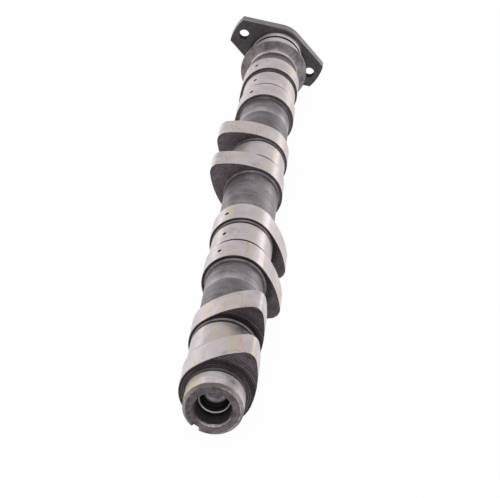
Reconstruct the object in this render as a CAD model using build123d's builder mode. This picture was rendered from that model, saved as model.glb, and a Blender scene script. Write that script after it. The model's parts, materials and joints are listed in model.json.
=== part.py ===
from build123d import *
import math
import os

# Camshaft of a four-cylinder engine, two cams to a cylinder, lying with its axis along Y.
# The origin is on the axis, in the middle of the flange face that the timing wheel seats on.
# Angles are seen from the open end, from +X towards +Z.

# Cylinder sets
CYLINDERS = 4
BORE_PITCH = 93.1                    # from one cylinder set to the next
FIRST_NOSE_ANGLE = 49.8              # where the cams next to the open end point, with the shaft at rest
NOSE_TURNS = (0, -90, 90, 180)       # firing order, set by set

# Cam lobes
BASE_RADIUS = 16.1
CAM_LIFT = 9.4
NOSE_RADIUS = 5.2
FLANK_RADIUS = 43.5
LOBE_WIDTH = 15.5
LOBE_EDGE = 0.35                     # chamfer round both sides of a lobe

# Journals and the plain shaft between the sets
JOURNAL_DIAMETER = 30.0
JOURNAL_WIDTH = 17.4
RELIEF_WIDTH = 2.5                   # grinding relief between a journal and its lobes
RELIEF_DEPTH = 0.6                   # the journal's ends are chamfered down to the relief
SHAFT_DIAMETER = 28.0
ROOT_CHAMFER = 0.8                   # where the shaft and the reliefs run into a lobe

# Open end
STUB_DIAMETER = 26.2
STUB_LENGTH = 12.35
STUB_CHAMFER = 1.2
STUB_RELIEF_WIDTH = 2.2
STUB_RELIEF_DEPTH = 0.5
NOTCH_WIDTH = 3.8
NOTCH_DEPTH = 2.3
NOTCH_LENGTH = 5.0
NOTCH_TURN = 180.0                   # from the first noses round to the notch

# Thrust collar and rear land
COLLAR_GAP = 16.65                   # plain shaft from the last lobe to the collar
COLLAR_DIAMETER = 39.0
COLLAR_RIM_WIDTH = 1.2
COLLAR_BACK_CHAMFER = 2.3
COLLAR_FILLET_RISE = 4.0             # elliptical: out along the collar's face
COLLAR_FILLET_LENGTH = 3.6           # and back along the shaft
LAND_DIAMETER = 31.0
LAND_LENGTH = 12.9
LAND_GROOVE_WIDTH = 1.7
LAND_GROOVE_DEPTH = 1.6
SEAL_LAND_LENGTH = 5.0
NECK_FILLET_RISE = 5.0               # from the seal land up to the flange
NECK_FILLET_LENGTH = 5.2

# Flange
FLANGE_THICKNESS = 7.0
FLANGE_ANGLE = -33.3                 # direction of the line through both ears
FLANGE_HUB_RADIUS = 16.8             # rounds the outline off between the ears
FLANGE_EAR_RADIUS = 29.4             # the ear ends are turned round the shaft's axis
FLANGE_FLANK_RADIUS = 16.7           # from the axis square to a straight flank
FLANGE_FLANK_ANGLE = 19.4            # between a flank and the line through the ears
FLANGE_EAR_CORNER = 0.9
FLANGE_EDGE = 0.3
BOLT_CIRCLE_DIAMETER = 46.3
BOLT_HOLES = 2
BOLT_HOLE_DIAMETER = 6.2
DOWEL_DIAMETER = 9.5                 # counterbores for ring dowels, on the seat face
DOWEL_DEPTH = 2.0
CENTRE_DIAMETER = 9.0                # lathe centre in the seat face
CENTRE_PILOT_DIAMETER = 4.0
CENTRE_PILOT_DEPTH = 10.0
CENTRE_CONE_ANGLE = 60.0

# Oil gallery and its cross holes
BORE_DIAMETER = 16.0
BORE_MOUTH_DIAMETER = 17.2
BORE_MOUTH_DEPTH = 1.3
GALLERY_DIAMETER = 8.0
GALLERY_OVERRUN = 4.0                # past the last cross hole
DRILL_POINT_ANGLE = 118.0
OIL_HOLE_DIAMETER = 2.2
OIL_HOLE_ANGLE = 117.3
OIL_HOLE_TURNS = (180, 0, 180, 0)    # every other set is drilled from the far side

# Pressed cup that closes the gallery
PLUG_RECESS = 8.2                    # from the end face in to the rim of the cup
PLUG_LENGTH = 6.2
PLUG_WALL = 1.55
PLUG_FLOOR = 1.2
PLUG_RIM_CHAMFER = 0.6
PLUG_INNER_CORNER = 1.3
PLUG_OUTER_CORNER = 1.5
PLUG_DIMPLE_RADIUS = 3.7
PLUG_DIMPLE_DEPTH = 0.5
PLUG_DIMPLE_SLOPE = 0.6

# Radii
journal_radius = JOURNAL_DIAMETER / 2
relief_radius = journal_radius - RELIEF_DEPTH
shaft_radius = SHAFT_DIAMETER / 2
hub_radius = BASE_RADIUS - LOBE_EDGE
stub_radius = STUB_DIAMETER / 2
stub_relief_radius = stub_radius - STUB_RELIEF_DEPTH
collar_radius = COLLAR_DIAMETER / 2
land_radius = LAND_DIAMETER / 2
land_groove_radius = land_radius - LAND_GROOVE_DEPTH
bore_radius = BORE_DIAMETER / 2
gallery_radius = GALLERY_DIAMETER / 2

# Distances from the open end
set_width = 2 * LOBE_WIDTH + 2 * RELIEF_WIDTH + JOURNAL_WIDTH
set_starts = [STUB_LENGTH + number * BORE_PITCH for number in range(CYLINDERS)]
far_lobe_offset = set_width - LOBE_WIDTH
collar_face = set_starts[-1] + set_width + COLLAR_GAP
collar_back = collar_face + COLLAR_RIM_WIDTH + COLLAR_BACK_CHAMFER
groove_start = collar_back + LAND_LENGTH
groove_end = groove_start + LAND_GROOVE_WIDTH
seal_land_end = groove_end + SEAL_LAND_LENGTH
flange_front = seal_land_end + NECK_FILLET_LENGTH
overall_length = flange_front + FLANGE_THICKNESS
plug_bore_depth = PLUG_RECESS + PLUG_LENGTH


def along(distance):
    """Y of a place at this distance from the open end."""
    return distance - overall_length


def across(distance, angle=0.0, facing=-1):
    """Plane across the shaft, with its x axis at the angle, facing the open end or away from it."""
    turn = math.radians(angle)
    direction = (math.cos(turn), 0, math.sin(turn))
    return Plane(origin=(0, along(distance), 0), x_dir=direction, z_dir=(0, facing, 0))


def nose_angle(number):
    return FIRST_NOSE_ANGLE + NOSE_TURNS[number % len(NOSE_TURNS)]


def oil_hole_angle(number):
    return OIL_HOLE_ANGLE + OIL_HOLE_TURNS[number % len(OIL_HOLE_TURNS)]


def cone_height(radius, angle):
    """Height of a cone with this base radius and this angle between its sides."""
    return radius / math.tan(math.radians(angle / 2))


def fillet_up(radius, distance, rise, length):
    """Elliptical fillet from a turned surface of this radius up to a face at this distance."""
    centre = (radius + rise, along(distance - length))
    return EllipticalCenterArc(centre, rise, length, start_angle=90, arc_size=90)


def corners_at(sketch, places):
    """The corners of a sketch that lie at these places."""
    points = [Vector(*place) for place in places]
    return [
        corner
        for corner in sketch.vertices()
        if any((Vector(corner) - point).length < 0.001 for point in points)
    ]


# One cam lobe: its nose on +X, its width from Y = 0
nose_centre = BASE_RADIUS + CAM_LIFT - NOSE_RADIUS
flank_to_axis = FLANK_RADIUS - BASE_RADIUS
flank_to_nose = FLANK_RADIUS - NOSE_RADIUS
flank_x = (nose_centre**2 + flank_to_axis**2 - flank_to_nose**2) / (2 * nose_centre)
flank_y = -math.sqrt(flank_to_axis**2 - flank_x**2)
nose_tangent = math.degrees(math.atan2(-flank_y, nose_centre - flank_x))
base_tangent = math.degrees(math.atan2(-flank_y, -flank_x))

with BuildPart() as cam_lobe:
    with BuildSketch(Plane.XZ):
        with BuildLine():
            CenterArc((nose_centre, 0), NOSE_RADIUS, 0, nose_tangent)
            CenterArc((flank_x, flank_y), FLANK_RADIUS, nose_tangent, base_tangent - nose_tangent)
            CenterArc((0, 0), BASE_RADIUS, base_tangent, 180 - base_tangent)
            mirror(about=Plane.XZ)
        make_face()
    extrude(amount=-LOBE_WIDTH)
    chamfer(cam_lobe.faces().filter_by(Axis.Y).edges(), length=LOBE_EDGE)

# Flange: turned with the fillet that carries it, then cut to its eared outline
flank_middle = FLANGE_FLANK_RADIUS / math.cos(math.radians(FLANGE_FLANK_ANGLE))
ear_half_width = flank_middle - FLANGE_EAR_RADIUS * math.tan(math.radians(FLANGE_FLANK_ANGLE))

with BuildPart() as flange:
    with BuildSketch():
        with BuildLine():
            neck_arc = fillet_up(land_radius, flange_front, NECK_FILLET_RISE, NECK_FILLET_LENGTH)
            Polyline(
                neck_arc @ 0,
                (FLANGE_EAR_RADIUS, along(flange_front)),
                (FLANGE_EAR_RADIUS, along(overall_length)),
                (0, along(overall_length)),
                (0, along(seal_land_end)),
                neck_arc @ 1,
            )
        make_face()
    revolve(axis=Axis.Y)
    with BuildSketch(across(overall_length, FLANGE_ANGLE)) as flange_outline:
        with BuildLine():
            Polyline(
                (0, flank_middle),
                (FLANGE_EAR_RADIUS, ear_half_width),
                (FLANGE_EAR_RADIUS, -ear_half_width),
                (0, -flank_middle),
                (-FLANGE_EAR_RADIUS, -ear_half_width),
                (-FLANGE_EAR_RADIUS, ear_half_width),
                close=True,
            )
        make_face()
        Circle(FLANGE_EAR_RADIUS, mode=Mode.INTERSECT)
        hub_corners = flange_outline.vertices().filter_by_position(Axis.X, -1, 1)
        fillet(hub_corners, radius=FLANGE_HUB_RADIUS)
        ear_corners = flange_outline.vertices().filter_by(
            lambda corner: abs(corner.X) > FLANGE_EAR_RADIUS / 2
        )
        fillet(ear_corners, radius=FLANGE_EAR_CORNER)
    extrude(amount=FLANGE_THICKNESS + NECK_FILLET_LENGTH, mode=Mode.INTERSECT)
    seat_face = flange.faces().sort_by(Axis.Y)[-1]
    chamfer(seat_face.outer_wire().edges(), length=FLANGE_EDGE)

# Turned outline: half of the lengthwise section, from the open end to the collar's fillet
front_outline = [
    (0, along(0)),
    (stub_radius - STUB_CHAMFER, along(0)),
    (stub_radius, along(STUB_CHAMFER)),
    (stub_radius, along(STUB_LENGTH - STUB_RELIEF_WIDTH)),
    (stub_relief_radius, along(STUB_LENGTH - STUB_RELIEF_WIDTH)),
    (stub_relief_radius, along(STUB_LENGTH)),
]
roots = [front_outline[-1]]
for start in set_starts:
    if start > set_starts[0]:
        roots.append((shaft_radius, along(start)))
        front_outline.append(roots[-1])
    roots += [
        (relief_radius, along(start + LOBE_WIDTH)),
        (relief_radius, along(start + far_lobe_offset)),
        (shaft_radius, along(start + set_width)),
    ]
    journal_start = start + LOBE_WIDTH + RELIEF_WIDTH
    journal_end = journal_start + JOURNAL_WIDTH
    front_outline += [
        (hub_radius, along(start)),
        (hub_radius, along(start + LOBE_WIDTH)),
        (relief_radius, along(start + LOBE_WIDTH)),
        (relief_radius, along(journal_start)),
        (journal_radius, along(journal_start + RELIEF_DEPTH)),
        (journal_radius, along(journal_end - RELIEF_DEPTH)),
        (relief_radius, along(journal_end)),
        (relief_radius, along(start + far_lobe_offset)),
        (hub_radius, along(start + far_lobe_offset)),
        (hub_radius, along(start + set_width)),
    ]
    front_outline.append(roots[-1])

# The same outline from the collar's fillet to the flange
rear_outline = [
    (collar_radius, along(collar_face)),
    (collar_radius, along(collar_face + COLLAR_RIM_WIDTH)),
    (collar_radius - COLLAR_BACK_CHAMFER, along(collar_back)),
    (land_radius, along(collar_back)),
    (land_radius, along(groove_start)),
    (land_groove_radius, along(groove_start)),
    (land_groove_radius, along(groove_end)),
    (land_radius, along(groove_end)),
    (land_radius, along(seal_land_end)),
    (0, along(seal_land_end)),
]

# Cross holes: each set has one in either lobe and one in its journal
hole_offsets = (LOBE_WIDTH / 2, set_width / 2, set_width - LOBE_WIDTH / 2)
oil_holes = [
    (start + offset, oil_hole_angle(number))
    for number, start in enumerate(set_starts)
    for offset in hole_offsets
]
gallery_end = oil_holes[-1][0] + GALLERY_OVERRUN

with BuildPart() as camshaft:
    with BuildSketch() as turned_section:
        with BuildLine():
            collar_arc = fillet_up(
                shaft_radius, collar_face, COLLAR_FILLET_RISE, COLLAR_FILLET_LENGTH
            )
            Polyline(collar_arc @ 0, *rear_outline, *front_outline, collar_arc @ 1)
        make_face()
        chamfer(corners_at(turned_section, roots), length=ROOT_CHAMFER)
    revolve(axis=Axis.Y)
    for number, start in enumerate(set_starts):
        for lobe_start in (start, start + far_lobe_offset):
            with Locations(Location((0, along(lobe_start), 0), (0, -nose_angle(number), 0))):
                add(cam_lobe.part)
    add(flange.part)

    # Gallery, drilled from the open end and bored out for the plug
    with BuildSketch():
        with BuildLine():
            Polyline(
                (0, along(0)),
                (BORE_MOUTH_DIAMETER / 2, along(0)),
                (bore_radius, along(BORE_MOUTH_DEPTH)),
                (bore_radius, along(plug_bore_depth)),
                (gallery_radius, along(plug_bore_depth)),
                (gallery_radius, along(gallery_end)),
                (0, along(gallery_end + cone_height(gallery_radius, DRILL_POINT_ANGLE))),
                close=True,
            )
        make_face()
    revolve(axis=Axis.Y, mode=Mode.SUBTRACT)

    for distance, angle in oil_holes:
        turn = math.radians(angle)
        outward = (math.cos(turn), 0, math.sin(turn))
        with BuildSketch(Plane(origin=(0, along(distance), 0), x_dir=(0, 1, 0), z_dir=outward)):
            Circle(OIL_HOLE_DIAMETER / 2)
        extrude(amount=BASE_RADIUS + CAM_LIFT, mode=Mode.SUBTRACT)

    # Drive notch in the rim of the open end
    with BuildSketch(across(0, FIRST_NOSE_ANGLE + NOTCH_TURN)):
        with Locations((stub_radius, 0)):
            Rectangle(2 * NOTCH_DEPTH, NOTCH_WIDTH)
    extrude(amount=-NOTCH_LENGTH, mode=Mode.SUBTRACT)

    # Holes in the seat face
    with Locations(across(overall_length, FLANGE_ANGLE, facing=1)):
        CounterSinkHole(
            CENTRE_PILOT_DIAMETER / 2,
            CENTRE_DIAMETER / 2,
            depth=CENTRE_PILOT_DEPTH,
            counter_sink_angle=CENTRE_CONE_ANGLE,
        )
        with PolarLocations(BOLT_CIRCLE_DIAMETER / 2, BOLT_HOLES):
            CounterBoreHole(
                BOLT_HOLE_DIAMETER / 2,
                DOWEL_DIAMETER / 2,
                DOWEL_DEPTH,
                depth=FLANGE_THICKNESS,
            )

# Oil gallery plug: a pressed cup, its rim towards the open end
plug_inner_radius = bore_radius - PLUG_WALL
rim_face = along(PLUG_RECESS)
floor_back = along(plug_bore_depth)
floor_front = floor_back - PLUG_FLOOR
dimple_floor_radius = PLUG_DIMPLE_RADIUS - PLUG_DIMPLE_SLOPE

with BuildPart() as oil_gallery_plug:
    with BuildSketch() as cup_section:
        with BuildLine():
            Polyline(
                (bore_radius, rim_face),
                (bore_radius, floor_back),
                (PLUG_DIMPLE_RADIUS, floor_back),
                (dimple_floor_radius, floor_back + PLUG_DIMPLE_DEPTH),
                (0, floor_back + PLUG_DIMPLE_DEPTH),
                (0, floor_front + PLUG_DIMPLE_DEPTH),
                (dimple_floor_radius, floor_front + PLUG_DIMPLE_DEPTH),
                (PLUG_DIMPLE_RADIUS, floor_front),
                (plug_inner_radius, floor_front),
                (plug_inner_radius, rim_face),
                close=True,
            )
        make_face()
        chamfer(corners_at(cup_section, [(plug_inner_radius, rim_face)]), length=PLUG_RIM_CHAMFER)
        chamfer(corners_at(cup_section, [(plug_inner_radius, floor_front)]), length=PLUG_INNER_CORNER)
        chamfer(corners_at(cup_section, [(bore_radius, floor_back)]), length=PLUG_OUTER_CORNER)
    revolve(axis=Axis.Y)

camshaft.part.label = "camshaft"
oil_gallery_plug.part.label = "oil_gallery_plug"

os.makedirs("parts", exist_ok=True)
export_step(camshaft.part, "parts/camshaft.step")
export_step(oil_gallery_plug.part, "parts/oil_gallery_plug.step")
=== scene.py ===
"""Finishes for a four-cylinder camshaft lying on a pale studio floor."""

import json
import math

import bpy
from bpy.props import FloatProperty, FloatVectorProperty, PointerProperty
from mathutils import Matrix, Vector


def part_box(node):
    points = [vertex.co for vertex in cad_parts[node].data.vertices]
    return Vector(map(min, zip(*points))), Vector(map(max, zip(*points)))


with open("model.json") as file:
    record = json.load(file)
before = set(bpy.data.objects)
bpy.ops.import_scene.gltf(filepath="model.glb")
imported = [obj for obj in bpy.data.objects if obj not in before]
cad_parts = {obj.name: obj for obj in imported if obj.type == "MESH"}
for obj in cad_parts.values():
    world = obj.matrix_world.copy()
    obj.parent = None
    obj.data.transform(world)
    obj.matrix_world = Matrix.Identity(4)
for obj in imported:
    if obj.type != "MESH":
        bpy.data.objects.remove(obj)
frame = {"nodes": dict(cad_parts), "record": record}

bl_info = {
    "name": "Camshaft Finish",
    "version": (1, 0, 0),
    "blender": (4, 5, 0),
    "location": "View3D > Sidebar > Camshaft",
    "description": "Ground, turned and cast finishes for a camshaft, and a soft studio round it",
    "category": "Material",
}

# Sizes from the frame, in metres. Distances run along Y from the open end.
SHAFT_LOW, SHAFT_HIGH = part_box("camshaft")
PLUG_LOW, PLUG_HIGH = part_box("oil_gallery_plug")
MOUNTS = {mount["name"]: mount for mount in frame["record"]["mounts"]}
OPEN_END = SHAFT_LOW.y
JOURNAL_RADIUS = MOUNTS["journal_1"]["dims"]["r_mm"] / 1000
JOURNAL_HALF_WIDTH = MOUNTS["journal_1"]["dims"]["length_mm"] / 2000
STUB_RADIUS = MOUNTS["end_stub"]["dims"]["r_mm"] / 1000
LAND_RADIUS = MOUNTS["rear_land"]["dims"]["r_mm"] / 1000
BOLT_CIRCLE_RADIUS = MOUNTS["flange_dowels"]["dims"]["pcd_mm"] / 2000
DOWEL_RADIUS = MOUNTS["flange_dowels"]["dims"]["hole_r_mm"] / 1000
FIRST_JOURNAL = MOUNTS["journal_1"]["pos_m"][1] - OPEN_END
PITCH = MOUNTS["journal_2"]["pos_m"][1] - MOUNTS["journal_1"]["pos_m"][1]
BORE_RADIUS = (PLUG_HIGH.x - PLUG_LOW.x) / 2
PLUG_RIM = PLUG_LOW.y - OPEN_END
PLUG_BACK = PLUG_HIGH.y - OPEN_END

# Directions round the axis, anticlockwise from the right as seen from the open end
RIGHT = 0.0
UP = math.radians(90)
DOWN = math.radians(-90)
OILY_SIDE = math.radians(165)
# FACE_LIGHT, RING_LIGHT and MOUTH_LIGHT: sides towards which painted light on the end face, its
# ring and the bore's mouth is brightest
FACE_LIGHT = math.radians(-50)
RING_LIGHT = math.radians(-5)
MOUTH_LIGHT = math.radians(-76)

# How far one finish takes to give way to the next at an edge, in metres
EDGE = 0.0001

# How far a relief lies below its ground neighbours at the least, in metres
RELIEF_STEP = 0.0003

# How far the plain shaft's smears lean along it from one side to the other
SMEAR_LEAN = 60.0

# The Mix node's sockets by number, as those for numbers and colours share their names
MIX_SHARE = 0
NUMBER_UNDER, NUMBER_OVER, NUMBER_RESULT = 2, 3, 0
COLOUR_UNDER, COLOUR_OVER, COLOUR_RESULT = 6, 7, 2

# Stretches along the shaft, in metres past the first journal
ROOTS_WIPED = 0.5 * PITCH
ROOTS_OILY = 4.2 * PITCH
NEAR_LOBES_END = 1.3 * PITCH
FAR_LOBES_START = 1.8 * PITCH

# The lamps: place and size in metres, power in watts
LAMPS = {
    "softbox_left": {"place": (-2.2, 0.3, 1.3), "size": (1.2, 1.6), "power": 12.0},
    "softbox_right": {"place": (2.2, -0.3, 1.2), "size": (1.2, 1.6), "power": 10.0},
    "softbox_top": {"place": (0.0, -0.6, 2.4), "size": (1.4, 1.4), "power": 12.0},
    "card_left": {"place": (-0.31, 0.22, 0.03), "size": (0.12, 0.09), "power": 0.05},
    "card_right": {"place": (0.31, 0.25, 0.03), "size": (0.16, 0.09), "power": 0.11},
}


def length(name, description, default):
    """A property in metres."""
    return FloatProperty(
        name=name, description=description, default=default, unit="LENGTH", precision=5
    )


def angle(name, description, degrees):
    """A property given in degrees and kept in radians."""
    return FloatProperty(
        name=name, description=description, default=math.radians(degrees), subtype="ANGLE"
    )


def share(name, description, default):
    """A property from 0 to 1."""
    return FloatProperty(
        name=name, description=description, default=default, min=0.0, max=1.0, subtype="FACTOR"
    )


def colour(name, description, default):
    """A property that holds a linear colour."""
    return FloatVectorProperty(
        name=name, description=description, default=default, min=0.0, max=1.0, subtype="COLOR"
    )


class IronSettings(bpy.types.PropertyGroup):
    """Sizes and colours of the camshaft's ground, turned and cast surfaces."""

    base_radius: length("Base radius", "Base circle of the cam lobes", 0.0161)
    mouth_radius: length("Bore mouth radius", "Chamfer at the mouth of the bore", 0.0086)
    mouth_depth: length("Bore mouth depth", "Chamfer at the mouth of the bore", 0.0013)
    # Painted shade: how far out from the axis the gallery's wall is laid near-black
    gallery_reach: length("Gallery reach", "Oily black round the oil gallery's wall", 0.0050)
    stub_chamfer: length("Stub chamfer", "Bevel round the open end", 0.0012)
    stub_length: length("Stub length", "Open end to the first lobe", 0.01235)
    lobe_offset: length("Lobe offset", "Middle of a journal to that of a lobe beside it", 0.01895)
    lobe_width: length("Lobe width", "Width of a cam lobe", 0.0155)
    root_width: length("Root width", "Chamfer where the shaft runs into a lobe", 0.0008)
    inner_root_width: length("Inner root width", "The same on a lobe's journal side", 0.0006)
    # Painted shade: the dark line where a root chamfer ends
    root_line: length("Root line", "Dark line where a root chamfer ends", 0.0002)
    # Painted shade and dirt on the plain shaft beside a lobe
    root_shade: length("Root shade", "Darker stretch of the plain shaft beside a lobe", 0.0060)
    # A darker stretch of the plain shaft behind every other pair of lobes, and a lighter one after
    # it
    dark_stretch_length: length("Skim length", "Darker stretch of the plain shaft behind a lobe", 0.0220)
    dark_stretch_wander: length("Skim wander", "How far the end of that stretch wavers", 0.002)
    dark_stretch_fade: length("Skim fade", "How softly that stretch starts and ends", 0.0006)
    light_stretch_length: length("Wiped length", "Brighter stretch after the darker one", 0.0070)
    light_stretch_rise: length("Wiped rise", "How soon that stretch is at its brightest", 0.0008)
    light_stretch_fall: length("Wiped fall", "How long it takes to fade", 0.0050)
    collar_fillet: length("Collar fillet", "Open end to the start of the collar's fillet", 0.3581)
    collar_back: length("Collar back", "Open end to the back of the thrust collar", 0.3652)
    # Painted highlight at the fillet's foot, and a painted shadow line before it
    collar_foot: length("Collar foot", "Bright ring where the collar's fillet starts", 0.0014)
    collar_line: length("Collar line", "Fillet's start back to the dark line before it", 0.0022)
    line_width: length("Line width", "Width of that dark line", 0.0008)
    collar_shade: length("Collar shade", "Height of the collar's darker part", 0.0015)
    groove_start: length("Groove start", "Open end to the groove behind the rear land", 0.3781)
    groove_end: length("Groove end", "Open end to the end of that groove", 0.3798)
    # How far the groove's painted shade laps onto the land before it and behind it
    groove_near_lip: length("Groove near lip", "Oil on the land before the groove", 0.0004)
    groove_far_lip: length("Groove far lip", "Oil behind the groove", 0.0007)
    neck_start: length("Neck start", "Open end to the fillet before the flange", 0.3848)
    flange_front: length("Flange front", "Open end to the front face of the flange", 0.3900)
    neck_shade: length("Neck shade", "How far out the flange is darker round its neck", 0.0060)
    oil_hole_radius: length("Oil hole radius", "Cross holes to the gallery", 0.0011)
    oil_hole_angle: angle("Oil hole angle", "Direction of the cross holes", 117.3)
    ear_angle: angle("Ear angle", "Line through both ears of the flange", -33.3)
    ground: colour("Ground", "Journals, cam tracks and stub", (0.560, 0.500, 0.515))
    stain: colour("Stain", "Dried oil on the ground bands", (0.600, 0.490, 0.390))
    stain_edge: colour("Stain edge", "Outlines of the dried oil", (0.450, 0.285, 0.140))
    cast: colour("Cast", "Plain shaft between the sets", (0.205, 0.180, 0.194))
    root: colour("Root", "Chamfers where the shaft runs into the lobes", (0.195, 0.172, 0.184))
    # Painted shade in the reliefs and grooves and on the lobe edges
    relief: colour("Relief", "Oily reliefs, grooves and lobe edges", (0.048, 0.041, 0.045))
    darker_stretch: colour("Skimmed", "Darker stretch of the plain shaft", (0.158, 0.138, 0.149))
    faced: colour("Faced", "Coarse turned sides of the lobes", (0.098, 0.081, 0.089))
    collar: colour("Collar", "Thrust collar", (0.255, 0.228, 0.240))
    flange: colour("Flange", "Faces of the flange", (0.078, 0.066, 0.073))
    rim: colour("Flange rim", "Cut edges of the flange", (0.210, 0.190, 0.200))
    end_face: colour("End face", "Turned face of the open end", (0.112, 0.095, 0.104))
    end_bevel: colour("End bevel", "Bevel round the open end", (0.240, 0.212, 0.212))
    # Painted highlight on the ground chamfer at the bore's mouth and on the end face's ring
    mouth: colour("Bore mouth", "Chamfer at the mouth of the bore", (0.780, 0.720, 0.750))
    bore: colour("Bore", "Bored wall in front of the plug", (0.106, 0.099, 0.101))
    # Near-black painted shade in the holes, the gallery and the groove
    hollow: colour("Hollow", "Inside of the holes", (0.006, 0.005, 0.005))
    rust: colour("Rust", "Brown film at the edges of the open end", (0.230, 0.150, 0.085))
    smear_distance: length("Smear distance", "Open end to the first journal's smear", 0.0455)
    smear_angle: angle("Smear angle", "Direction of the oily smear", 50.0)
    smear_radius: length("Smear radius", "Size of the oily smear", 0.0055)
    smear_core: length("Smear core", "Size of its darkest part", 0.0015)
    film_width: length("Film width", "Brown line at the bore's mouth", 0.00025)
    film_band: length("Film band", "Brown line behind the end bevel", 0.0003)
    oil_ring_radius: length("Oil ring radius", "Oily ring on the near lobes' sides", 0.01625)
    oil_ring_width: length("Oil ring width", "Width of that ring", 0.0013)
    oil_ring_fade: length("Oil ring fade", "How softly that ring ends", 0.0012)
    groove_pitch: length("Groove pitch", "Between the tool marks on the lobe sides", 0.00090)
    groove_core: length("Groove core", "How far out the dark tool marks are darkest", 0.0010)
    groove_reach: length("Groove reach", "How far out the dark tool marks show", 0.0060)
    groove_depth: length("Groove depth", "Depth of the tool marks on the lobe sides", 0.00003)
    grain_depth: length("Grain depth", "Grinding lines on the ground bands", 0.000003)
    cast_depth: length("Cast depth", "Unevenness of everything that isn't ground", 0.00004)
    metallic: share("Metallic", "How far the iron shines like bare metal", 0.70)
    stub_metallic: share("Stub metallic", "The same for the stub", 0.30)
    ground_roughness: share("Ground roughness", "Roughness of the ground bands", 0.36)
    cast_roughness: share("Cast roughness", "Roughness of the plain shaft and the collar", 0.44)
    faced_roughness: share("Faced roughness", "Roughness of the turned sides", 0.48)
    # Roughness of the near-black painted shade in hollows
    shade_roughness: share("Oil roughness", "Roughness of dull oily black", 0.90)


class PlugSettings(bpy.types.PropertyGroup):
    """Sizes and colours of the pressed plug in the open end."""

    wall: length("Wall", "Thickness of the cup's wall", 0.00155)
    # Painted highlight: the bright line round the bevel inside the rim
    lip: length("Lip", "Bright bevel inside the rim", 0.0006)
    lip_line: length("Lip line", "Width of the bright line round that bevel", 0.0003)
    dimple_radius: length("Dimple radius", "Pressed middle of the cup's floor", 0.0037)
    floor_depth: length("Floor depth", "Rim to the floor of the cup", 0.0050)
    corner_depth: length("Corner depth", "How softly the wall ends above the floor", 0.0010)
    corner_width: length("Corner width", "How softly the floor ends at the wall", 0.0016)
    # A darker middle of the floor of the cup
    floor_middle_radius: length("Tarnish radius", "Tarnished middle of the floor", 0.0028)
    floor_middle_fade: length("Tarnish fade", "How softly that middle ends", 0.0005)
    # Painted highlight on the cup's rim
    rim: colour("Rim", "Bright edge of the cup", (0.800, 0.760, 0.780))
    steel: colour("Steel", "Floor of the cup", (0.480, 0.430, 0.460))
    floor_middle: colour("Tarnish", "Dull middle of the floor", (0.300, 0.265, 0.285))
    # Painted shade on the cup's wall
    shaded: colour("Shaded", "Oily wall of the cup", (0.019, 0.016, 0.017))
    cloud_depth: length("Cloud depth", "Unevenness of the pressed steel", 0.00003)
    metallic: share("Metallic", "How far the plug shines like bare metal", 0.50)
    roughness: share("Roughness", "Roughness of the pressed steel", 0.36)


class StudioSettings(bpy.types.PropertyGroup):
    """Floor, backdrop and camera."""

    floor_slope: angle("Floor slope", "How far off level the shaft's axis rests", 0.67)
    floor_size: length("Floor size", "Side of the square floor", 12.0)
    floor_colour: colour("Floor", "Pale floor", (0.90, 0.90, 0.90))
    floor_glow: share("Floor glow", "Share of plain white that the camera sees in the floor", 0.96)
    horizon: colour("Horizon", "Backdrop at the horizon", (1.0, 1.0, 1.0))
    zenith: colour("Zenith", "Backdrop overhead", (0.66, 0.66, 0.66))
    camera_place: FloatVectorProperty(
        name="Camera place",
        description="Where the camera stands",
        default=(0.08652, -1.01964, 0.41669),
        subtype="TRANSLATION",
        unit="LENGTH",
    )
    camera_turn: FloatVectorProperty(
        name="Camera turn",
        description="Rotation of the camera about X, Y and Z",
        default=[math.radians(degrees) for degrees in (61.491, 2.686, 4.700)],
        subtype="EULER",
    )
    lens: FloatProperty(name="Lens", description="Focal length", default=128.9, unit="CAMERA")
    nearest: length("Nearest", "Nearest point that the camera shows", 0.05)
    farthest: length("Farthest", "Farthest point that the camera shows", 40.0)


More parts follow.
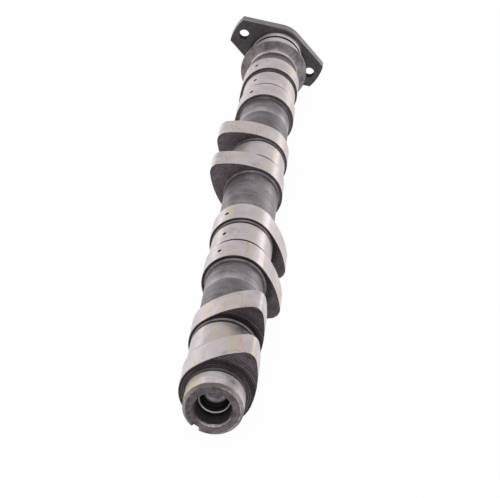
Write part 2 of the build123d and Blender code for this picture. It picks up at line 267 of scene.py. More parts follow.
class Graph:
    """A material's or the world's nodes. A value given to it is a number, a colour or a socket."""

    def __init__(self, owner):
        owner.use_nodes = True
        self.nodes = owner.node_tree.nodes
        self.links = owner.node_tree.links
        self.nodes.clear()

    def add(self, kind, values, **settings):
        """Adds a node and gives its inputs their values, by name or by number."""
        node = self.nodes.new(kind)
        for name, setting in settings.items():
            setattr(node, name, setting)
        for key, value in values.items():
            if isinstance(value, bpy.types.NodeSocket):
                self.links.new(value, node.inputs[key])
            else:
                node.inputs[key].default_value = value
        return node

    def maths(self, operation, *values):
        node = self.add("ShaderNodeMath", dict(enumerate(values)), operation=operation)
        return node.outputs[0]

    def vector(self, operation, *values, output="Vector"):
        node = self.add("ShaderNodeVectorMath", dict(enumerate(values)), operation=operation)
        return node.outputs[output]

    def chain(self, operation, values):
        """Works through the values from the first to the last."""
        result = values[0]
        for value in values[1:]:
            result = self.maths(operation, result, value)
        return result

    def total(self, *values):
        return self.chain("ADD", values)

    def both(self, *masks):
        """1 where all the masks are 1. It multiplies, so it also takes tones."""
        return self.chain("MULTIPLY", masks)

    def either(self, *masks):
        """1 where any of the masks is 1."""
        return self.chain("MAXIMUM", masks)

    def inverse(self, mask):
        return self.maths("SUBTRACT", 1.0, mask)

    def scaled(self, value, low, high):
        """A 0 to 1 value spread from low to high."""
        return self.maths("MULTIPLY_ADD", value, high - low, low)

    def step(self, value, start, end):
        """Rises smoothly from 0 at start to 1 at end; falls if end is below start."""
        values = {"Value": value, "From Min": start, "From Max": end}
        node = self.add("ShaderNodeMapRange", values, interpolation_type="SMOOTHSTEP")
        return node.outputs["Result"]

    def beyond(self, value, start, soft=EDGE):
        """1 from start on, fading in over soft before it."""
        return self.step(value, start - soft, start)

    def within(self, value, end, soft=EDGE):
        """1 up to end, fading out over soft after it."""
        return self.step(value, end + soft, end)

    def between(self, value, start, end, soft=EDGE):
        """1 from start to end, fading out over soft on either side."""
        return self.both(self.beyond(value, start, soft), self.within(value, end, soft))

    def blend(self, mask, first, second):
        """Numbers: first where the mask is 0, second where it is 1."""
        values = {MIX_SHARE: mask, NUMBER_UNDER: first, NUMBER_OVER: second}
        node = self.add("ShaderNodeMix", values, data_type="FLOAT")
        return node.outputs[NUMBER_RESULT]

    def paint(self, mask, under, over, mode="MIX"):
        """Colours: over laid on under where the mask is 1."""
        values = {MIX_SHARE: mask, COLOUR_UNDER: under, COLOUR_OVER: over}
        node = self.add("ShaderNodeMix", values, data_type="RGBA", blend_type=mode)
        return node.outputs[COLOUR_RESULT]

    def toned(self, tint, tone):
        """A colour made lighter or darker from place to place."""
        if not isinstance(tint, bpy.types.NodeSocket):
            tint = opaque(tint)
        return self.paint(1.0, tint, tone, "MULTIPLY")

    def noise(self, vector, scale=1.0, detail=2.0, roughness=0.5):
        """Soft noise that stays round 0.5."""
        values = {"Vector": vector, "Scale": scale, "Detail": detail, "Roughness": roughness}
        return self.add("ShaderNodeTexNoise", values).outputs["Fac"]

    def clouds(self, vector, scale=1.0, detail=2.0, roughness=0.5):
        """Noise that reaches right down to 0 and up to 1."""
        return self.step(self.noise(vector, scale, detail, roughness), start=0.30, end=0.70)

    def bump(self, height, distance, under=None):
        """A surface direction bent as if height raised the surface by up to distance."""
        values = {"Height": height, "Distance": distance}
        if under is not None:
            values["Normal"] = under
        return self.add("ShaderNodeBump", values).outputs["Normal"]


def opaque(rgb):
    """A colour as a colour socket takes it, with nothing let through."""
    return (*rgb, 1.0)


class Places:
    """Where a point of the shaft lies along, out from and round the axis, and how it faces."""

    def __init__(self, graph):
        self.graph = graph
        where = graph.add("ShaderNodeTexCoord", {})
        self.point = where.outputs["Object"]
        normal = where.outputs["Normal"]
        across = graph.vector("MULTIPLY", self.point, (1.0, 0.0, 1.0))
        height = graph.vector("DOT_PRODUCT", self.point, (0.0, 1.0, 0.0), output="Value")
        self.distance = graph.maths("SUBTRACT", height, OPEN_END)
        self.radius = graph.vector("LENGTH", across, output="Value")
        self.outward = graph.vector("NORMALIZE", across)
        self.facing_out = graph.vector("DOT_PRODUCT", normal, self.outward, output="Value")
        facing_back = graph.vector("DOT_PRODUCT", normal, (0.0, 1.0, 0.0), output="Value")
        self.endwise = graph.maths("ABSOLUTE", facing_back)
        self.past_first = graph.maths("SUBTRACT", self.distance, FIRST_JOURNAL)
        self.from_journal = graph.maths("PINGPONG", self.past_first, PITCH / 2)

    def ring(self, around, run):
        """Texture coordinates that close up round the axis, and run on with another value."""
        turn = self.graph.vector("MULTIPLY", self.outward, (around, 0.0, around))
        line = self.graph.add("ShaderNodeCombineXYZ", {"Y": run}).outputs[0]
        return self.graph.vector("ADD", turn, line)

    def stretched(self, across, along):
        """Texture coordinates with one scale across the shaft and another along it."""
        return self.graph.vector("MULTIPLY", self.point, (across, along, across))

    def wrapped(self, around, along, shift=0.0):
        """Texture coordinates for a wall: one scale round the axis, another along it."""
        return self.ring(around, self.graph.maths("MULTIPLY_ADD", self.distance, along, shift))

    def ringed(self, around, outward):
        """Texture coordinates for a face across the shaft: one scale round it, another outward."""
        return self.ring(around, self.graph.maths("MULTIPLY", self.radius, outward))

    def toward(self, direction):
        """How far a point lies from the axis in this direction."""
        pointer = (math.cos(direction), 0.0, math.sin(direction))
        return self.graph.vector("DOT_PRODUCT", self.point, pointer, output="Value")


class Finish:
    """A metal finish built up in layers, each laid where its mask is 1."""

    def __init__(self, graph, at, settings, tint, roughness):
        self.graph = graph
        self.at = at
        self.settings = settings
        self.tint = tint
        self.roughness = roughness
        self.metallic = settings.metallic
        self.normal = None

    def lay(self, mask, tint, roughness=None):
        """Covers what is there with a colour or a socket."""
        if not isinstance(tint, bpy.types.NodeSocket):
            tint = opaque(tint)
        self.tint = self.graph.paint(mask, self.tint, tint)
        if roughness is not None:
            self.roughness = self.graph.blend(mask, self.roughness, roughness)

    def shade(self, mask, tone):
        """Makes what is there darker or lighter."""
        self.tint = self.graph.paint(mask, self.tint, tone, "MULTIPLY")

    def emboss(self, height, distance):
        """Roughens what is there by a height map."""
        self.normal = self.graph.bump(height, distance, under=self.normal)

    def apply(self):
        """Ends the build-up with the shader that shows it."""
        values = {
            "Base Color": self.tint,
            "Roughness": self.roughness,
            "Normal": self.normal,
            "Metallic": self.metallic,
        }
        shader = self.graph.add("ShaderNodeBsdfPrincipled", values)
        self.graph.add("ShaderNodeOutputMaterial", {"Surface": shader.outputs[0]})


def plain_shaft(graph, at, settings):
    """Cast iron, grainy and slightly smeared, darker and then lighter behind every other pair of
    lobes, with painted shade and dirt beside each lobe.
    """
    lean = graph.maths("MULTIPLY", at.toward(RIGHT), SMEAR_LEAN)
    leaning = at.wrapped(around=1.6, along=420.0, shift=lean)
    smear = graph.clouds(leaning, detail=5.0, roughness=0.65)
    broad = graph.clouds(at.wrapped(around=1.3, along=120.0, shift=2.0))
    mottle = graph.noise(at.point, scale=420.0, detail=4.0, roughness=0.7)
    grain = graph.clouds(at.point, scale=1100.0)
    patchy = graph.clouds(at.wrapped(around=1.3, along=0.0, shift=4.0))
    wander = graph.noise(at.wrapped(around=0.8, along=0.0))

    lobe_end = settings.lobe_offset + settings.lobe_width / 2
    dark_stretch_end = lobe_end + settings.dark_stretch_length
    light_stretch_end = dark_stretch_end + settings.light_stretch_length
    place = graph.total(
        graph.maths("WRAP", at.past_first, 2 * PITCH, 0.0),
        graph.scaled(wander, low=-settings.dark_stretch_wander, high=settings.dark_stretch_wander),
    )
    darker_stretch = graph.between(place, lobe_end, dark_stretch_end, soft=settings.dark_stretch_fade)
    lighter_stretch = graph.both(
        graph.step(place, start=dark_stretch_end, end=dark_stretch_end + settings.light_stretch_rise),
        graph.step(place, start=light_stretch_end, end=light_stretch_end - settings.light_stretch_fall),
    )
    # Painted shade and dirt: the plain shaft darkens towards the lobe
    near_root = graph.step(
        at.from_journal, start=lobe_end + settings.root_shade, end=lobe_end + settings.root_width
    )
    tone = graph.total(
        graph.scaled(smear, low=0.60, high=1.05),
        graph.scaled(broad, low=0.00, high=0.42),
        graph.scaled(mottle, low=-0.28, high=0.28),
        graph.scaled(grain, low=-0.13, high=0.13),
        graph.both(lighter_stretch, graph.scaled(patchy, low=0.1, high=1.0)),
    )
    tone = graph.both(tone, graph.scaled(near_root, low=1.0, high=0.60))
    return graph.toned(graph.paint(darker_stretch, opaque(settings.cast), opaque(settings.darker_stretch)), tone)


def ground_iron(graph, at, settings):
    """Ground iron, cloudy, with patches of dried oil across it that are browner at their edges."""
    cloud = graph.noise(at.point, scale=110.0, detail=4.0, roughness=0.6)
    smear = graph.noise(at.wrapped(around=3.0, along=160.0, shift=5.0))
    smudge = graph.noise(at.wrapped(around=1.7, along=90.0, shift=8.0), detail=4.0)
    field = graph.noise(at.wrapped(around=3.4, along=26.0, shift=3.7), detail=3.0, roughness=0.55)
    cover = graph.noise(at.wrapped(around=5.0, along=60.0, shift=1.3), detail=3.0)

    tone = graph.total(
        graph.scaled(cloud, low=0.55, high=1.12), graph.scaled(smear, low=0.00, high=0.34)
    )
    smudged = graph.step(smudge, start=0.62, end=0.80)
    tone = graph.both(tone, graph.scaled(smudged, low=1.0, high=0.60))
    past_stub = graph.beyond(at.distance, settings.stub_length + EDGE)
    oiled = graph.both(graph.step(cover, start=0.38, end=0.60), past_stub)
    patch = graph.both(graph.step(field, start=0.52, end=0.56), oiled)
    outline = graph.both(graph.between(field, start=0.526, end=0.532, soft=0.007), oiled)
    tint = graph.toned(settings.ground, tone)
    tint = graph.paint(graph.scaled(patch, low=0.0, high=0.60), tint, opaque(settings.stain))
    return graph.paint(graph.scaled(outline, low=0.0, high=0.65), tint, opaque(settings.stain_edge))


def tool_marks(graph, at, settings):
    """Bright and dark rings that a facing tool leaves, wavering, and worn off in places."""
    wander = graph.noise(at.stretched(across=70.0, along=8.0))
    turns = graph.maths("DIVIDE", at.radius, settings.groove_pitch)
    phase = graph.total(graph.scaled(wander, low=0.0, high=1.6), turns)
    wave = graph.maths("SINE", graph.maths("MULTIPLY", phase, 2 * math.pi))
    worn = graph.clouds(at.ringed(around=2.5, outward=700.0), detail=3.0, roughness=0.6)
    bright = graph.both(graph.step(wave, start=0.10, end=1.0), worn)
    dark = graph.both(graph.step(wave, start=0.0, end=-0.9), worn)
    return bright, dark


def bolt_hole(graph, at, settings):
    """1 within a dowel's radius of the middle of either bolt hole."""
    along_ears = graph.maths("ABSOLUTE", at.toward(settings.ear_angle))
    from_middle = graph.maths("SUBTRACT", along_ears, BOLT_CIRCLE_RADIUS)
    aside = at.toward(settings.ear_angle + math.pi / 2)
    place = graph.add("ShaderNodeCombineXYZ", {"X": from_middle, "Y": aside}).outputs[0]
    reach = graph.vector("LENGTH", place, output="Value")
    return graph.within(reach, DOWEL_RADIUS + EDGE)


def oil_hole(graph, at, settings):
    """1 along the drilled axes of the cross holes."""
    aside = graph.maths("ABSOLUTE", at.toward(settings.oil_hole_angle + math.pi / 2))
    from_lobe = graph.maths("SUBTRACT", at.from_journal, settings.lobe_offset)
    from_row = graph.maths("MINIMUM", at.from_journal, graph.maths("ABSOLUTE", from_lobe))
    reach = settings.oil_hole_radius + EDGE
    return graph.both(graph.within(aside, reach), graph.within(from_row, reach))


class IronFinish(Finish):
    """The whole casting's finish. Each method lays a surface, found by its place and direction."""

    def __init__(self, graph, settings):
        at = Places(graph)
        plain = plain_shaft(graph, at, settings)
        super().__init__(graph, at, settings, plain, settings.cast_roughness)
        self.near_side = settings.lobe_offset - settings.lobe_width / 2
        self.far_side = settings.lobe_offset + settings.lobe_width / 2
        self.find_faces()
        self.mix_textures()

    def find_faces(self):
        """Masks for the kinds of face, and for what part of the shaft they are on."""
        graph, at, settings = self.graph, self.at, self.settings
        self.side = graph.step(at.endwise, start=0.80, end=0.90)
        self.wall = graph.inverse(self.side)
        self.lengthwise = graph.step(at.endwise, start=0.30, end=0.20)
        self.bevel = graph.both(self.wall, graph.inverse(self.lengthwise))
        self.outside = graph.step(at.facing_out, start=0.35, end=0.50)
        self.off_flange = graph.within(at.distance, settings.neck_start - EDGE, soft=2 * EDGE)
        self.on_flange = graph.inverse(self.off_flange)
        self.on_collar = graph.between(
            at.distance, settings.collar_fillet, settings.collar_back, soft=2 * EDGE
        )
        self.on_stub = graph.both(
            graph.within(at.distance, settings.stub_length - EDGE),
            graph.beyond(at.radius, STUB_RADIUS - EDGE, soft=2 * EDGE),
        )
        self.at_end = graph.within(at.distance, EDGE, soft=2 * EDGE)
        self.in_bore = graph.both(
            graph.within(at.radius, settings.mouth_radius, soft=2 * EDGE),
            graph.within(at.distance, PLUG_BACK, soft=10 * EDGE),
        )
        proud = graph.beyond(at.radius, JOURNAL_RADIUS - EDGE, soft=2 * EDGE)
        self.ground = graph.both(
            self.off_flange, self.outside, self.lengthwise, graph.either(proud, self.on_stub)
        )

    def mix_textures(self):
        """Noises, tool marks and tints that several surfaces share."""
        graph, at, settings = self.graph, self.at, self.settings
        self.mottle = graph.noise(at.point, scale=300.0, detail=4.0, roughness=0.6)
        self.grit = graph.clouds(at.point, scale=800.0, detail=3.0, roughness=0.7)
        self.smear = graph.noise(at.stretched(across=150.0, along=60.0), detail=5.0, roughness=0.65)
        self.dirt = graph.clouds(at.point, scale=300.0, detail=5.0, roughness=0.7)
        self.marks, self.grooves = tool_marks(graph, at, settings)
        relief_tone = graph.scaled(self.mottle, low=0.5, high=1.5)
        self.relief_shade = graph.toned(settings.relief, relief_tone)

    def paint_hollow_shade(self, mask):
        """Painted shade: a layer of dull near-black, which shines no more at a glancing angle than
        head on.
        """
        self.lay(mask, self.settings.hollow, self.settings.shade_roughness)
        self.metallic = self.graph.blend(mask, self.metallic, 0.0)

    def lay_ground_bands(self):
        """Journals, cam tracks and stub, and painted shade on the bevels at their edges."""
        tint = ground_iron(self.graph, self.at, self.settings)
        self.lay(self.ground, tint, self.settings.ground_roughness)
        self.lay(self.bevel, self.relief_shade)

    def lay_roots_and_reliefs(self):
        """Chamfers where the shaft runs into the lobes, and painted shade in the reliefs beside
        them.
        """
        graph, at, settings = self.graph, self.at, self.settings
        root_end = self.far_side + settings.root_width
        inner_root = self.near_side - settings.inner_root_width
        chamfer = graph.either(
            graph.between(
                at.from_journal, self.far_side + 2 * EDGE, root_end - EDGE, soft=2 * EDGE
            ),
            graph.between(at.from_journal, inner_root, self.near_side - 2 * EDGE, soft=2 * EDGE),
        )
        lighter_stretch = graph.step(at.past_first, start=ROOTS_OILY, end=ROOTS_WIPED)
        under_lobes = graph.within(at.radius, JOURNAL_RADIUS + RELIEF_STEP, soft=2 * EDGE)
        by_stub = graph.within(at.distance, settings.stub_length)
        root = graph.both(
            self.bevel, chamfer, lighter_stretch, under_lobes, graph.scaled(by_stub, low=1.0, high=0.35)
        )
        root_tint = graph.toned(settings.root, graph.scaled(self.mottle, low=0.2, high=1.8))
        self.lay(root, root_tint, settings.ground_roughness)

        line_start = root_end + EDGE
        root_line = graph.between(at.from_journal, line_start, line_start + settings.root_line)
        set_back = graph.both(
            graph.within(at.radius, JOURNAL_RADIUS - RELIEF_STEP, soft=2 * EDGE),
            graph.within(at.from_journal, self.far_side - 2 * EDGE),
        )
        stub_relief = graph.both(graph.within(at.radius, STUB_RADIUS - RELIEF_STEP), by_stub)
        # Painted shade: the reliefs, the line past each root chamfer and the stub's relief are laid
        # dark
        relief = graph.either(root_line, set_back, stub_relief)
        recessed = graph.both(self.outside, graph.inverse(root), relief)
        self.lay(recessed, self.relief_shade, settings.faced_roughness)

        # The gap between the first lobe and its journal takes the ground colour instead of the
        # painted shade
        first_gap = graph.both(
            graph.between(at.past_first, -self.near_side, EDGE - JOURNAL_HALF_WIDTH),
            graph.within(at.radius, JOURNAL_RADIUS),
        )
        self.lay(first_gap, settings.ground, settings.ground_roughness)

    def lay_land_groove(self):
        """The groove behind the rear land, painted near-black as shade, which laps over its edges.
        """
        graph, at, settings = self.graph, self.at, self.settings
        start = settings.groove_start - settings.groove_near_lip
        end = settings.groove_end + settings.groove_far_lip
        groove = graph.either(
            graph.within(at.radius, LAND_RADIUS - 2 * EDGE),
            graph.beyond(at.distance, settings.groove_end),
            graph.within(at.distance, settings.groove_start - EDGE),
        )
        self.paint_hollow_shade(graph.both(self.outside, graph.between(at.distance, start, end), groove))

    def lay_lobe_sides(self):
        """Turned sides, darkest close to the shaft, with fainter tool marks on the far lobes."""
        graph, at, settings = self.graph, self.at, self.settings
        base = settings.base_radius
        far_lobes = graph.step(at.past_first, start=NEAR_LOBES_END, end=FAR_LOBES_START)
        marks = graph.both(self.marks, graph.scaled(far_lobes, low=1.0, high=0.40))
        oil_start = settings.oil_ring_radius - settings.oil_ring_width / 2
        oil_end = settings.oil_ring_radius + settings.oil_ring_width / 2
        oil_ring = graph.between(at.radius, oil_start, oil_end, soft=settings.oil_ring_fade)
        oiled = graph.both(oil_ring, graph.inverse(far_lobes))
        near_shaft = graph.step(
            at.radius, start=base + settings.groove_reach, end=base + settings.groove_core
        )
        grooves = graph.both(self.grooves, near_shaft)
        tone = graph.total(
            graph.scaled(marks, low=0.55, high=2.40),
            graph.scaled(self.mottle, low=-0.40, high=0.40),
            graph.scaled(self.grit, low=-0.05, high=0.35),
        )
        tone = graph.both(
            tone,
            graph.scaled(oiled, low=1.0, high=0.40),
            graph.scaled(far_lobes, low=0.92, high=1.55),
            graph.scaled(grooves, low=1.0, high=0.45),
        )
        self.lay(self.side, graph.toned(settings.faced, tone), settings.faced_roughness)
        self.emboss(graph.both(self.side, marks), settings.groove_depth)

    def lay_oily_smear(self):
        """One ragged smear of oil on the first journal."""
        graph, at, settings = self.graph, self.at, self.settings
        spot = (
            JOURNAL_RADIUS * math.cos(settings.smear_angle),
            OPEN_END + settings.smear_distance,
            JOURNAL_RADIUS * math.sin(settings.smear_angle),
        )
        from_spot = graph.vector("DISTANCE", at.point, spot, output="Value")
        ragged = graph.clouds(at.wrapped(around=6.0, along=500.0), detail=4.0, roughness=0.7)
        smeared = graph.both(
            self.ground,
            graph.step(from_spot, start=settings.smear_radius, end=settings.smear_core),
            graph.scaled(ragged, low=0.25, high=1.0),
        )
        tone = graph.scaled(ragged, low=0.55, high=0.25)
        self.lay(smeared, graph.toned(settings.ground, tone))

    def lay_collar(self):
        """The thrust collar, smeared and brown on one side, with a painted highlight at its foot
        and a painted shadow line before it.
        """
        graph, at, settings = self.graph, self.at, self.settings
        fillet = settings.collar_fillet
        shade_end = LAND_RADIUS + settings.collar_shade
        toward_rim = graph.step(at.radius, start=shade_end, end=shade_end + settings.collar_shade)
        tone = graph.total(
            graph.scaled(self.smear, low=-0.35, high=2.20),
            graph.scaled(self.mottle, low=-0.20, high=0.25),
            graph.scaled(self.grit, low=-0.18, high=0.18),
        )
        tone = graph.both(tone, graph.scaled(toward_rim, low=0.85, high=1.20))
        self.lay(self.on_collar, graph.toned(settings.collar, tone), settings.cast_roughness)

        brown = graph.both(
            graph.step(at.toward(OILY_SIDE), start=0.009, end=0.018),
            graph.step(self.smear, start=0.40, end=0.60),
        )
        self.lay(graph.both(self.on_collar, graph.scaled(brown, low=0.0, high=0.35)), settings.rust)

        # Painted highlight: a bright ring where the fillet starts
        foot_highlight = graph.between(
            at.distance, fillet - 2 * EDGE, fillet + settings.collar_foot, soft=4 * EDGE
        )
        foot_highlight_tint = graph.toned(settings.collar, graph.scaled(self.smear, low=0.8, high=4.6))
        self.lay(graph.both(self.outside, foot_highlight), foot_highlight_tint, settings.ground_roughness)
        # Painted shadow: a dark line on the shaft before the fillet
        line_middle = fillet - settings.collar_line
        line_start = line_middle - settings.line_width / 2
        line_end = line_middle + settings.line_width / 2
        line = graph.between(at.distance, line_start, line_end, soft=3 * EDGE)
        self.lay(graph.both(self.outside, graph.scaled(line, low=0.0, high=0.9)), settings.relief)

    def lay_flange(self):
        """The flange and the fillet that carries it, with painted shade round the neck, and the
        flange's streaked rim.
        """
        graph, at, settings = self.graph, self.at, self.settings
        # Painted shade: the flange darkens towards its neck, and the neck fillet takes the flange's
        # dark colour
        painted_neck_shade = graph.step(at.radius, start=LAND_RADIUS + settings.neck_shade, end=LAND_RADIUS)
        tone = graph.total(
            graph.scaled(self.grit, low=0.55, high=1.05),
            graph.scaled(self.marks, low=0.0, high=0.50),
            graph.scaled(self.smear, low=-0.25, high=0.45),
        )
        tone = graph.both(tone, graph.scaled(painted_neck_shade, low=1.0, high=0.5))
        self.lay(self.on_flange, graph.toned(settings.flange, tone), settings.faced_roughness)

        streak = graph.noise(at.wrapped(around=4.0, along=1500.0), detail=3.0)
        rim_tone = graph.total(
            graph.scaled(streak, low=0.35, high=1.35),
            graph.scaled(self.mottle, low=-0.25, high=0.45),
        )
        past_neck = graph.beyond(at.distance, settings.flange_front - EDGE, soft=2 * EDGE)
        rim = graph.both(past_neck, self.wall, self.outside)
        self.lay(rim, graph.toned(settings.rim, rim_tone), settings.cast_roughness)

    def lay_end_face(self):
        """The open end's turned face and bevel, with painted light and shade on them, and a painted
        highlight ring between them.
        """
        graph, at, settings = self.graph, self.at, self.settings
        # Painted light: the face is lighter towards FACE_LIGHT
        lit = graph.step(at.toward(FACE_LIGHT), start=-0.002, end=0.012)
        face_tone = graph.total(
            graph.scaled(self.dirt, low=0.35, high=1.40),
            graph.scaled(self.marks, low=0.0, high=0.25),
            graph.scaled(lit, low=0.0, high=0.30),
        )
        self.lay(graph.both(self.side, self.at_end), graph.toned(settings.end_face, face_tone))

        # Painted light and shade: the bevel is lighter at the sides and darker underneath
        aside = graph.step(graph.maths("ABSOLUTE", at.toward(RIGHT)), start=0.004, end=0.012)
        above = graph.step(at.toward(UP), start=-0.0070, end=0.0020)
        bevel_tone = graph.both(
            graph.scaled(self.dirt, low=0.80, high=1.20),
            graph.scaled(aside, low=0.62, high=1.2),
            graph.scaled(above, low=0.60, high=1.0),
        )
        near_end = graph.within(at.distance, settings.stub_chamfer)
        end_bevel = graph.both(self.bevel, self.outside, near_end)
        self.lay(end_bevel, graph.toned(settings.end_bevel, bevel_tone))

        # Painted highlight: a bright ring where the face meets the bevel, brightest towards
        # RING_LIGHT
        ring_radius = STUB_RADIUS - settings.stub_chamfer
        ring = graph.between(at.radius, ring_radius - 2 * EDGE, ring_radius)
        ring_lit = graph.step(at.toward(RING_LIGHT), start=0.000, end=0.009)
        ring_lit = graph.scaled(ring_lit, low=0.15, high=0.90)
        self.lay(graph.both(self.at_end, ring, ring_lit, self.dirt), settings.mouth)

    def lay_bore(self):
        """The bore, its mouth painted bright as a highlight, and the brown film on the mouth and
        round the end bevel, which also covers the mouth's unlit side.
        """
        graph, at, settings = self.graph, self.at, self.settings
        bored = graph.both(self.wall, self.in_bore)
        mouth = graph.both(bored, graph.within(at.distance, settings.mouth_depth - EDGE))
        # Painted highlight: the mouth's ground chamfer is laid bright, brightest towards
        # MOUTH_LIGHT
        lit = graph.step(at.toward(MOUTH_LIGHT), start=0.0012, end=0.0078)
        mouth_dirt_and_light = graph.both(
            graph.scaled(self.dirt, low=0.70, high=1.30), graph.scaled(lit, low=0.25, high=1.0)
        )
        self.lay(bored, settings.bore)
        self.lay(mouth, graph.toned(settings.mouth, mouth_dirt_and_light), settings.ground_roughness)

        film = graph.noise(at.point, scale=420.0, detail=3.0)
        inner = BORE_RADIUS - EDGE
        outer = settings.stub_chamfer - EDGE
        inner_edge = graph.between(at.radius, inner, inner + settings.film_width)
        outer_edge = graph.between(at.distance, outer, outer + settings.film_band)
        edges = graph.either(graph.both(inner_edge, mouth), graph.both(outer_edge, self.on_stub))
        edges = graph.both(edges, graph.step(film, start=0.35, end=0.60))
        # Painted shade: the brown film also covers the mouth's unlit side
        unlit_mouth_film = graph.both(mouth, graph.inverse(lit), graph.scaled(film, low=0.2, high=1.0))
        self.brown_film = graph.either(edges, unlit_mouth_film)

    def lay_stub(self):
        """Brushed lines and dried oil on the stub, under the brown film."""
        graph, at, settings = self.graph, self.at, self.settings
        band = graph.both(self.on_stub, self.lengthwise, self.outside)
        brushed = graph.clouds(at.wrapped(around=0.8, along=3200.0, shift=1.0), detail=3.0)
        sheen = graph.clouds(at.wrapped(around=2.6, along=30.0, shift=6.0))
        tone = graph.both(
            graph.scaled(brushed, low=0.78, high=1.32), graph.scaled(sheen, low=0.78, high=1.18)
        )
        self.shade(band, tone)
        self.metallic = graph.blend(band, self.metallic, settings.stub_metallic)
        oily = graph.both(band, graph.step(at.toward(OILY_SIDE), start=0.004, end=0.013))
        self.lay(graph.both(oily, graph.scaled(brushed, low=0.3, high=0.85)), settings.stain)
        self.lay(graph.both(oily, graph.scaled(sheen, low=0.42, high=0.05)), settings.stain_edge)
        self.lay(self.brown_film, settings.rust)

    def blacken_holes(self):
        """Oil holes, gallery and bolt holes, painted near-black as shade."""
        graph, at, settings = self.graph, self.at, self.settings
        inward = graph.inverse(self.outside)
        drilled = graph.both(oil_hole(graph, at, settings), inward, self.off_flange)
        gallery = graph.both(
            graph.inverse(self.in_bore),
            graph.within(at.radius, settings.gallery_reach, soft=5 * EDGE),
            self.off_flange,
        )
        bolt_holes = graph.both(self.on_flange, self.wall, bolt_hole(graph, at, settings))
        self.paint_hollow_shade(graph.either(drilled, gallery, bolt_holes))

    def emboss_grain(self):
        """Grinding lines on the ground bands and unevenness everywhere else."""
        graph, settings = self.graph, self.settings
        grain = graph.noise(self.at.wrapped(around=1.2, along=2600.0))
        self.emboss(graph.both(self.ground, grain), settings.grain_depth)
        self.emboss(graph.both(graph.inverse(self.ground), self.mottle), settings.cast_depth)


def finish_iron(settings):
    """One material for the whole casting."""
    material = bpy.data.materials.new("camshaft_iron_surfaces")
    finish = IronFinish(Graph(material), settings)
    finish.lay_ground_bands()
    finish.lay_roots_and_reliefs()
    finish.lay_land_groove()
    finish.lay_lobe_sides()
    finish.lay_oily_smear()
    finish.lay_collar()
    finish.lay_flange()
    finish.lay_end_face()
    finish.lay_bore()
    finish.lay_stub()
    finish.blacken_holes()
    finish.emboss_grain()
    finish.apply()
    return material


def finish_plug(settings):
    """Pressed steel: a painted highlight on the rim, painted shade on the wall, and a dull floor,
    painted lighter on its lower side, with its middle pressed in.
    """
    material = bpy.data.materials.new("plug_steel_surfaces")
    graph = Graph(material)
    at = Places(graph)
    # Painted shade: the whole plug starts as the dark wall
    finish = Finish(graph, at, settings, opaque(settings.shaded), settings.roughness)
    cloud = graph.noise(at.point, scale=520.0, detail=3.0)
    depth = graph.maths("SUBTRACT", at.distance, PLUG_RIM)

    on_floor = graph.both(
        graph.beyond(depth, settings.floor_depth - 2 * EDGE, soft=settings.corner_depth),
        graph.within(at.radius, settings.dimple_radius + EDGE, soft=settings.corner_width),
    )
    # Painted light: the floor is lighter on its lower side
    lit = graph.step(at.toward(DOWN), start=-0.0040, end=0.0050)
    floor_tone = graph.both(
        graph.scaled(cloud, low=0.10, high=1.90), graph.scaled(lit, low=0.50, high=1.65)
    )
    finish.lay(on_floor, graph.toned(settings.steel, floor_tone))
    middle = graph.within(at.radius, settings.floor_middle_radius, soft=settings.floor_middle_fade)
    middle_tint = graph.toned(settings.floor_middle, graph.scaled(cloud, low=0.20, high=1.80))
    finish.lay(graph.both(on_floor, middle), middle_tint)

    # Painted highlight: a bright line round the bevel inside the rim
    lip_radius = BORE_RADIUS - settings.wall + settings.lip / 2
    lip_start = lip_radius - settings.lip_line / 2
    lip_end = lip_radius + settings.lip_line / 2
    lip = graph.both(
        graph.within(depth, settings.lip), graph.between(at.radius, lip_start, lip_end)
    )
    finish.lay(lip, graph.toned(settings.rim, graph.scaled(cloud, low=0.90, high=1.30)))
    finish.emboss(cloud, settings.cloud_depth)
    finish.apply()
    return material


def dress(node, material):
    """Gives a CAD node its finish in place of the plain one it came with."""
    obj = frame["nodes"][node]
    obj.data.materials.clear()
    obj.data.materials.append(material)


def resting_height(node, up):
    """How far along up the lowest point of a node lies."""
    return min(up.dot(vertex.co) for vertex in frame["nodes"][node].data.vertices)


def make_floor(settings):
    """A pale floor that touches the shaft where it rests."""
    bpy.ops.mesh.primitive_plane_add(size=settings.floor_size)
    floor = bpy.context.object
    floor.name = "studio_floor"
    floor.rotation_euler = (-settings.floor_slope, 0.0, 0.0)
    up = Vector((0.0, math.sin(settings.floor_slope), math.cos(settings.floor_slope)))
    floor.location = up * resting_height("camshaft", up)
    material = bpy.data.materials.new("pale_floor")
    graph = Graph(material)
    light_path = graph.add("ShaderNodeLightPath", {})
    names = ("Is Camera Ray", "Is Glossy Ray", "Is Transmission Ray")
    seen = graph.either(*(light_path.outputs[name] for name in names))
    glow = graph.maths("MULTIPLY", seen, settings.floor_glow)
    paint = graph.add("ShaderNodeBsdfDiffuse", {"Color": opaque(settings.floor_colour)})
    white = graph.add("ShaderNodeEmission", {"Color": opaque((1.0, 1.0, 1.0)), "Strength": 1.0})
    mixed = graph.add("ShaderNodeMixShader", {0: glow, 1: paint.outputs[0], 2: white.outputs[0]})
    graph.add("ShaderNodeOutputMaterial", {"Surface": mixed.outputs[0]})
    floor.data.materials.append(material)


def make_world(settings):
    """A backdrop that is white at the horizon and greyer overhead."""
    world = bpy.data.worlds.new("studio_backdrop")
    bpy.context.scene.world = world
    graph = Graph(world)
    where = graph.add("ShaderNodeTexCoord", {}).outputs["Generated"]
    height = graph.vector("DOT_PRODUCT", where, (0.0, 0.0, 1.0), output="Value")
    overhead = graph.step(height, start=0.08, end=0.50)
    sky = graph.paint(overhead, opaque(settings.horizon), opaque(settings.zenith))
    background = graph.add("ShaderNodeBackground", {"Color": sky, "Strength": 1.0})
    graph.add("ShaderNodeOutputWorld", {"Surface": background.outputs[0]})


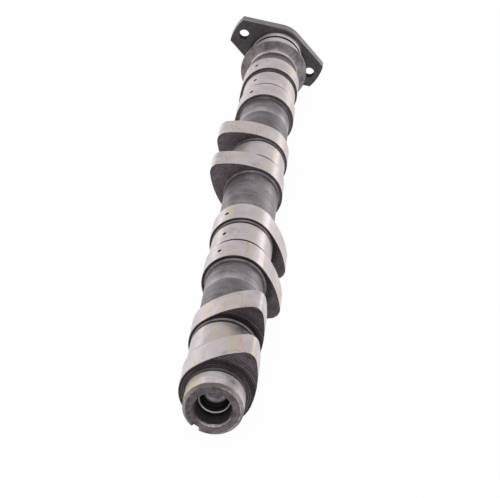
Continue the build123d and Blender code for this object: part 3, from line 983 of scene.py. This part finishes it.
def hang_lamp(name, place, size, power):
    """A rectangular lamp that faces the middle of the shaft and doesn't show in the picture."""
    light = bpy.data.lights.new(name, "AREA")
    light.shape = "RECTANGLE"
    light.size, light.size_y = size
    light.energy = power
    lamp = bpy.data.objects.new(name, light)
    lamp.location = place
    middle = (SHAFT_LOW + SHAFT_HIGH) / 2
    lamp.rotation_euler = (middle - Vector(place)).to_track_quat("-Z", "Y").to_euler()
    lamp.visible_camera = False
    bpy.context.scene.collection.objects.link(lamp)


def make_camera(settings):
    """The camera, at the photograph's viewing angle."""
    camera = bpy.data.cameras.new("studio_camera")
    camera.lens = settings.lens
    camera.clip_start = settings.nearest
    camera.clip_end = settings.farthest
    stand = bpy.data.objects.new("studio_camera", camera)
    stand.location = settings.camera_place
    stand.rotation_euler = settings.camera_turn
    bpy.context.scene.collection.objects.link(stand)
    bpy.context.scene.camera = stand


class CAMSHAFT_OT_finish_iron(bpy.types.Operator):
    """Give the camshaft its ground, turned and cast surfaces"""

    bl_idname = "camshaft.finish_iron"
    bl_label = "Finish the Iron"

    def execute(self, context):
        dress("camshaft", finish_iron(context.scene.camshaft_iron))
        return {"FINISHED"}


class CAMSHAFT_OT_finish_plug(bpy.types.Operator):
    """Give the gallery plug its pressed steel"""

    bl_idname = "camshaft.finish_plug"
    bl_label = "Finish the Plug"

    def execute(self, context):
        dress("oil_gallery_plug", finish_plug(context.scene.camshaft_plug))
        return {"FINISHED"}


class CAMSHAFT_OT_set_stage(bpy.types.Operator):
    """Lay the floor and set the light and the camera"""

    bl_idname = "camshaft.set_stage"
    bl_label = "Set the Stage"

    def execute(self, context):
        settings = context.scene.camshaft_studio
        make_floor(settings)
        make_world(settings)
        for name, lamp in LAMPS.items():
            hang_lamp(name, **lamp)
        make_camera(settings)
        context.scene.view_settings.view_transform = "Standard"
        return {"FINISHED"}


class CAMSHAFT_PT_workshop(bpy.types.Panel):
    """Lists the steps that dress the camshaft"""

    bl_idname = "CAMSHAFT_PT_workshop"
    bl_label = "Camshaft"
    bl_space_type = "VIEW_3D"
    bl_region_type = "UI"
    bl_category = "Camshaft"

    def draw(self, context):
        for operator in OPERATORS:
            self.layout.operator(operator.bl_idname)


OPERATORS = (CAMSHAFT_OT_finish_iron, CAMSHAFT_OT_finish_plug, CAMSHAFT_OT_set_stage)
CLASSES = (IronSettings, PlugSettings, StudioSettings, *OPERATORS, CAMSHAFT_PT_workshop)


def register():
    for cls in CLASSES:
        bpy.utils.register_class(cls)
    bpy.types.Scene.camshaft_iron = PointerProperty(type=IronSettings)
    bpy.types.Scene.camshaft_plug = PointerProperty(type=PlugSettings)
    bpy.types.Scene.camshaft_studio = PointerProperty(type=StudioSettings)


def unregister():
    del bpy.types.Scene.camshaft_studio
    del bpy.types.Scene.camshaft_plug
    del bpy.types.Scene.camshaft_iron
    for cls in reversed(CLASSES):
        bpy.utils.unregister_class(cls)


def main():
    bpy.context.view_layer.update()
    register()
    bpy.ops.camshaft.finish_iron()
    bpy.ops.camshaft.finish_plug()
    bpy.ops.camshaft.set_stage()


if __name__ == "__main__":
    main()
